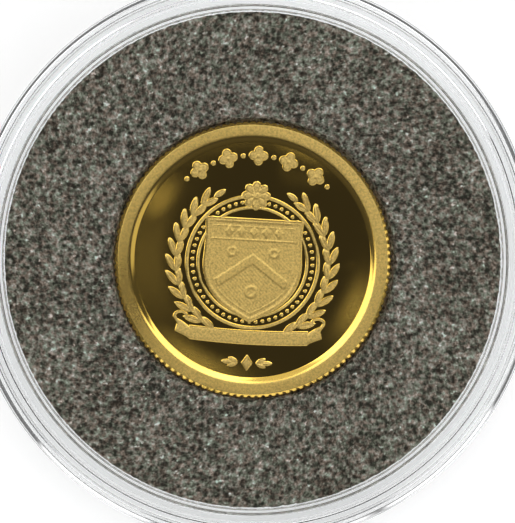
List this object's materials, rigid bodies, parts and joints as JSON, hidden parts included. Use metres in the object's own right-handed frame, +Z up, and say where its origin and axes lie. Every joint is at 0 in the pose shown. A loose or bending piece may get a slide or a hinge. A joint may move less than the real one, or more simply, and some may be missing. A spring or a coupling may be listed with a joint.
{
  "type": "coin capsule",
  "caption": "Round clear coin capsule: two press-fit acrylic shells around a die-cut foam ring that grips a small gold coin with a reeded edge.",
  "frame": {"origin": "centre of the closed capsule's foot, in the plane it lies on with the coin's front facing up", "axes": "+Z up along the capsule's axis, through base, foam ring, coin and lid; +Y towards the top of the coin's front design"},
  "size_m": [0.0286, 0.0286, 0.0059],
  "materials": {
    "clear_acrylic": "clear polished acrylic",
    "foam": "charcoal cross-linked foam with a skived, open-celled face",
    "gold": "proof gold, mirror field and frosted relief"
  },
  "bodies": {
    "base": {"capsule_base": "clear_acrylic"},
    "ring": {"foam_ring": "foam"},
    "coin": {"coin": "gold"},
    "lid": {"capsule_lid": "clear_acrylic"}
  },
  "joints": [
    {"name": "ring_lift", "type": "slide", "parent": "base", "child": "ring", "axis": [0, 0, 1], "range_m": [0, 0.006]},
    {"name": "coin_lift", "type": "slide", "parent": "ring", "child": "coin", "axis": [0, 0, 1], "range_m": [0, 0.005]},
    {"name": "lid_lift", "type": "slide", "parent": "coin", "child": "lid", "axis": [0, 0, 1], "range_m": [0, 0.012]}
  ]
}
